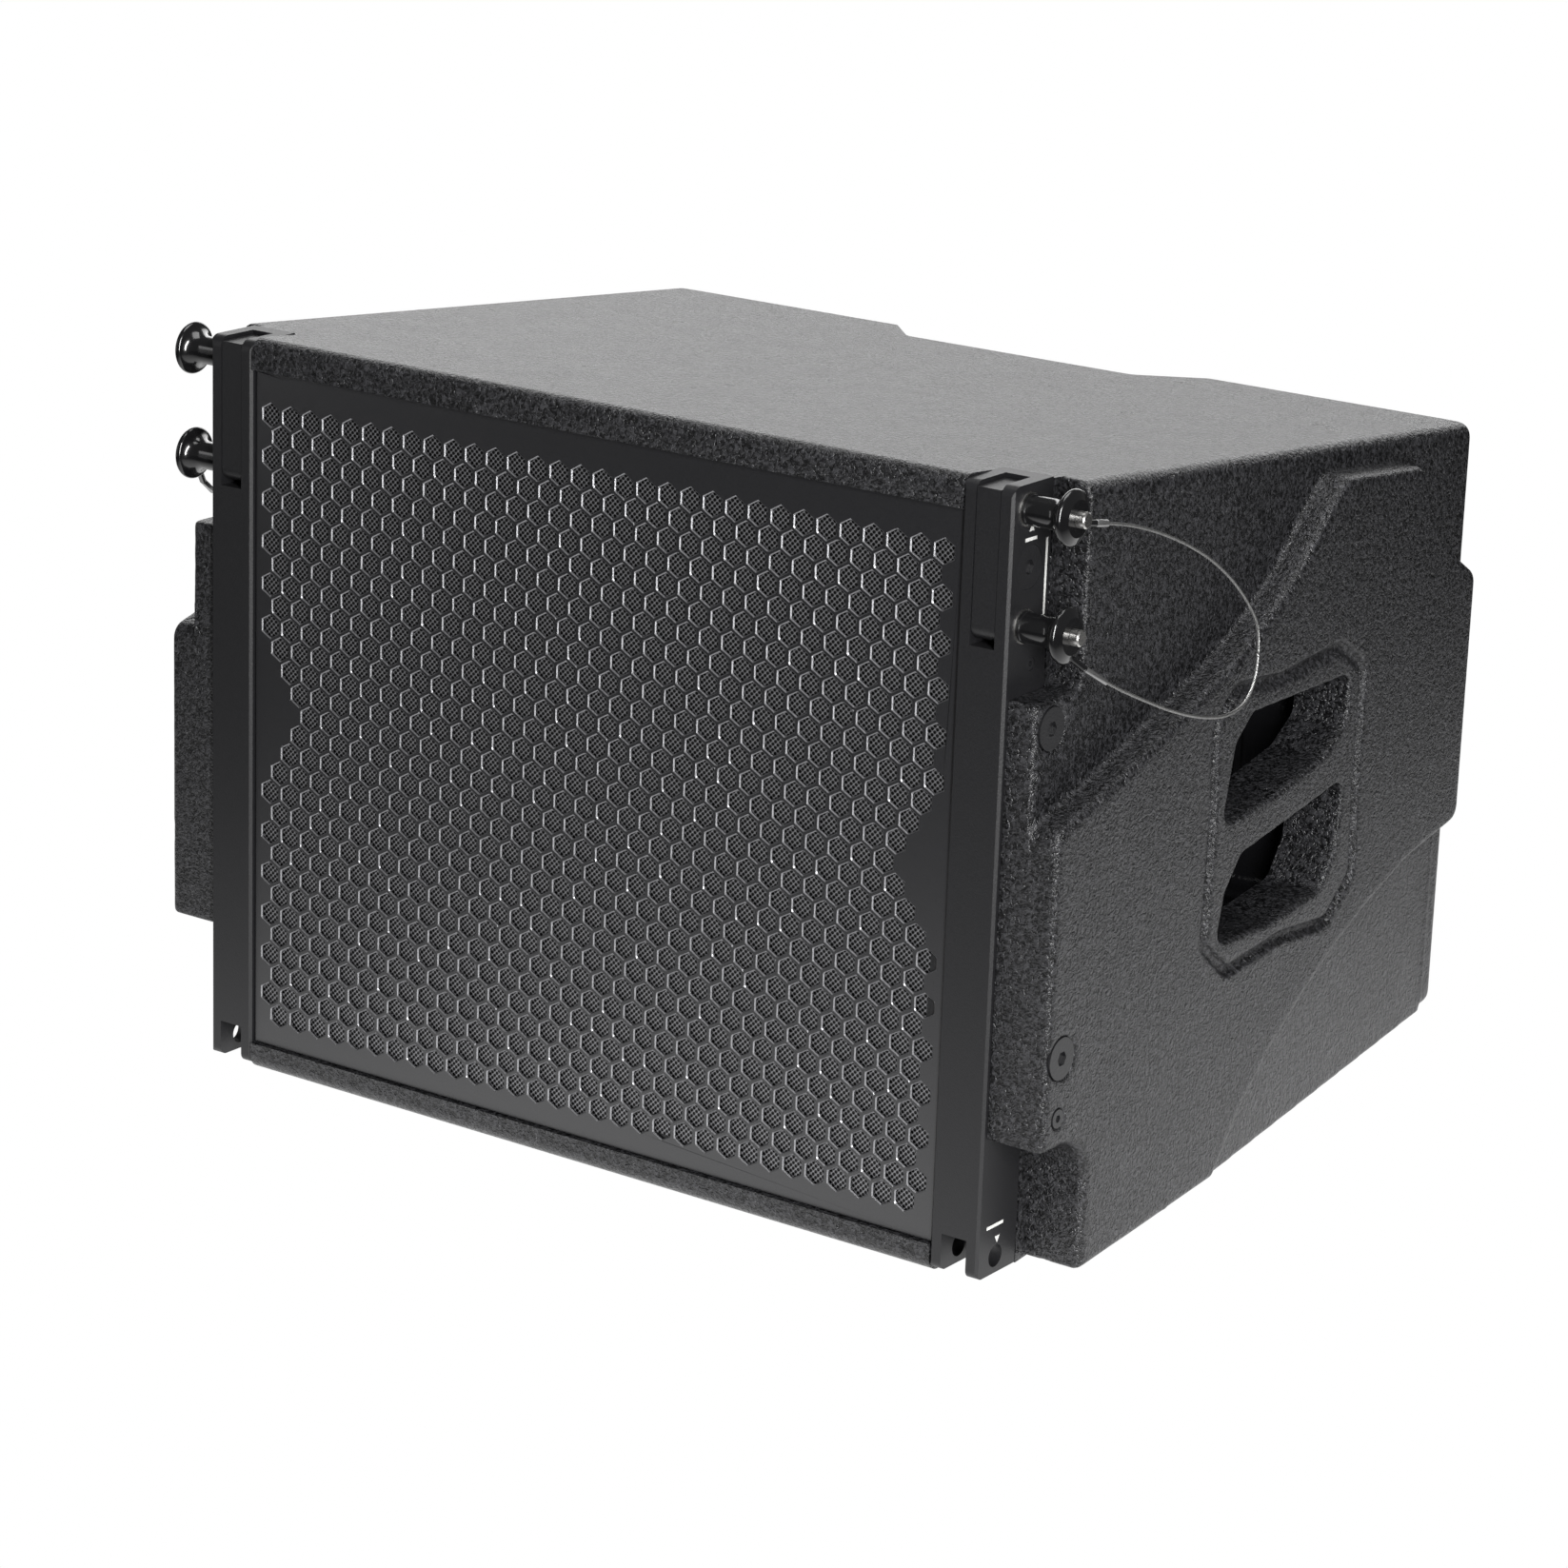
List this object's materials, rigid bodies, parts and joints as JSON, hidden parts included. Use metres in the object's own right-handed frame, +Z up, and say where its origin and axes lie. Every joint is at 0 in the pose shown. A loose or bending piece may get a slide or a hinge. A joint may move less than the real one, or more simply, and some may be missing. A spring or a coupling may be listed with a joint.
{
  "type": "line array speaker",
  "caption": "Compact line array loudspeaker: tapered coated cabinet, hexagon-punched grille, front rigging columns, quick-release pins on wire lanyards and moulded hand grips.",
  "frame": {"origin": "centre of the bounding box, on the plane that the flat underside stands on", "axes": "+Z up, +X to the right seen from the front, -Y towards the listener; the grille leans back 5 degrees"},
  "size_m": [0.5296, 0.4056, 0.3534],
  "materials": {
    "coated_cabinet": "black polyurea coating with a fine leather-like grain",
    "handle_cup": "moulded black, glossy",
    "rigging": "satin black powder coat",
    "grille": "satin black powder coat",
    "grille_mesh": "black fine wire mesh",
    "quick_pin": "gloss black",
    "pin_button": "turned stainless steel",
    "pin_bush": "turned steel",
    "wire_rope": "stainless wire rope",
    "fastener": "black oxide",
    "woofer_basket": "die-cast, black",
    "magnet": "ferrite ring",
    "motor_steel": "zinc-plated",
    "cone_paper": "coated black paper pulp",
    "voice_coil": "copper wire on a polyimide former",
    "surround": "treated cloth roll",
    "spider": "resin-treated cotton",
    "moulded_black": "moulded black",
    "circuit_board": "glass-epoxy laminate",
    "inductor": "enamelled copper windings",
    "capacitor": "film capacitor cases",
    "wadding": "polyester wadding"
  },
  "bodies": {
    "cabinet": {"baffle": "coated_cabinet", "bottom_panel": "coated_cabinet", "cabinet_brace": "coated_cabinet", "compression_driver": "motor_steel", "compression_driver_cover": "moulded_black", "connector_plate": "moulded_black", "connector_plate_screws": "fastener", "connector_socket_input": "moulded_black", "connector_socket_link": "moulded_black", "crossover_board": "circuit_board", "crossover_capacitors": "capacitor", "crossover_inductors": "inductor", "damping_foam": "wadding", "grille": "grille", "grille_mesh": "grille_mesh", "handle_cup_left": "handle_cup", "handle_cup_right": "handle_cup", "pin_bushes": "pin_bush", "port_tubes": "moulded_black", "rear_channel": "rigging", "rear_panel": "coated_cabinet", "rigging_column_left": "rigging", "rigging_column_right": "rigging", "side_panel_left": "coated_cabinet", "side_panel_right": "coated_cabinet", "side_screws": "fastener", "top_panel": "coated_cabinet", "waveguide": "moulded_black", "waveguide_screws": "fastener", "woofer_back_plate": "motor_steel", "woofer_basket": "woofer_basket", "woofer_gasket": "surround", "woofer_magnet": "magnet", "woofer_screws": "fastener", "woofer_spider": "spider", "woofer_surround": "surround", "woofer_top_plate": "motor_steel"},
    "cone_assembly": {"woofer_cone": "cone_paper", "woofer_dust_cap": "cone_paper", "woofer_voice_coil": "voice_coil"},
    "link_bar_left": {"link_bar_left": "rigging"},
    "link_bar_right": {"link_bar_right": "rigging"},
    "rear_splay_bar": {"rear_splay_bar": "rigging"},
    "rear_pin": {"rear_pin": "quick_pin"},
    "rear_pin_button": {"rear_pin_button": "pin_button"},
    "quick_pin_left_lower": {"quick_pin_left_lower": "quick_pin", "lanyard_left_lower": "wire_rope"},
    "pin_button_left_lower": {"pin_button_left_lower": "pin_button"},
    "quick_pin_left_upper": {"quick_pin_left_upper": "quick_pin", "lanyard_left_upper": "wire_rope"},
    "pin_button_left_upper": {"pin_button_left_upper": "pin_button"},
    "quick_pin_right_lower": {"quick_pin_right_lower": "quick_pin", "lanyard_right_lower": "wire_rope"},
    "pin_button_right_lower": {"pin_button_right_lower": "pin_button"},
    "quick_pin_right_upper": {"quick_pin_right_upper": "quick_pin", "lanyard_right_upper": "wire_rope"},
    "pin_button_right_upper": {"pin_button_right_upper": "pin_button"}
  },
  "joints": [
    {"name": "woofer_excursion", "type": "slide", "parent": "cabinet", "child": "cone_assembly", "axis": [0, -0.9962, 0.0872], "range_m": [-0.005, 0.004], "stiffness_N_per_m": 2000, "deforming": ["woofer_surround", "woofer_spider"]},
    {"name": "link_bar_left_slide", "type": "slide", "parent": "cabinet", "child": "link_bar_left", "axis": [0, 0.0872, 0.9962], "range_m": [0, 0.024]},
    {"name": "quick_pin_left_lower_slide", "type": "slide", "parent": "cabinet", "child": "quick_pin_left_lower", "axis": [-1, 0, 0], "range_m": [0, 0.026]},
    {"name": "pin_button_left_lower_press", "type": "slide", "parent": "quick_pin_left_lower", "child": "pin_button_left_lower", "axis": [1, 0, 0], "range_m": [0, 0.003], "stiffness_N_per_m": 400},
    {"name": "quick_pin_left_upper_slide", "type": "slide", "parent": "cabinet", "child": "quick_pin_left_upper", "axis": [-1, 0, 0], "range_m": [0, 0.026]},
    {"name": "pin_button_left_upper_press", "type": "slide", "parent": "quick_pin_left_upper", "child": "pin_button_left_upper", "axis": [1, 0, 0], "range_m": [0, 0.003], "stiffness_N_per_m": 400},
    {"name": "link_bar_right_slide", "type": "slide", "parent": "cabinet", "child": "link_bar_right", "axis": [0, 0.0872, 0.9962], "range_m": [0, 0.024]},
    {"name": "quick_pin_right_lower_slide", "type": "slide", "parent": "cabinet", "child": "quick_pin_right_lower", "axis": [1, 0, 0], "range_m": [0, 0.026]},
    {"name": "pin_button_right_lower_press", "type": "slide", "parent": "quick_pin_right_lower", "child": "pin_button_right_lower", "axis": [-1, 0, 0], "range_m": [0, 0.003], "stiffness_N_per_m": 400},
    {"name": "quick_pin_right_upper_slide", "type": "slide", "parent": "cabinet", "child": "quick_pin_right_upper", "axis": [1, 0, 0], "range_m": [0, 0.026]},
    {"name": "pin_button_right_upper_press", "type": "slide", "parent": "quick_pin_right_upper", "child": "pin_button_right_upper", "axis": [-1, 0, 0], "range_m": [0, 0.003], "stiffness_N_per_m": 400},
    {"name": "rear_splay_bar_slide", "type": "slide", "parent": "cabinet", "child": "rear_splay_bar", "axis": [0, 0.0872, 0.9962], "range_m": [0, 0.024]},
    {"name": "rear_pin_slide", "type": "slide", "parent": "cabinet", "child": "rear_pin", "axis": [1, 0, 0], "range_m": [0, 0.034]},
    {"name": "rear_pin_button_press", "type": "slide", "parent": "rear_pin", "child": "rear_pin_button", "axis": [-1, 0, 0], "range_m": [0, 0.003], "stiffness_N_per_m": 400}
  ]
}
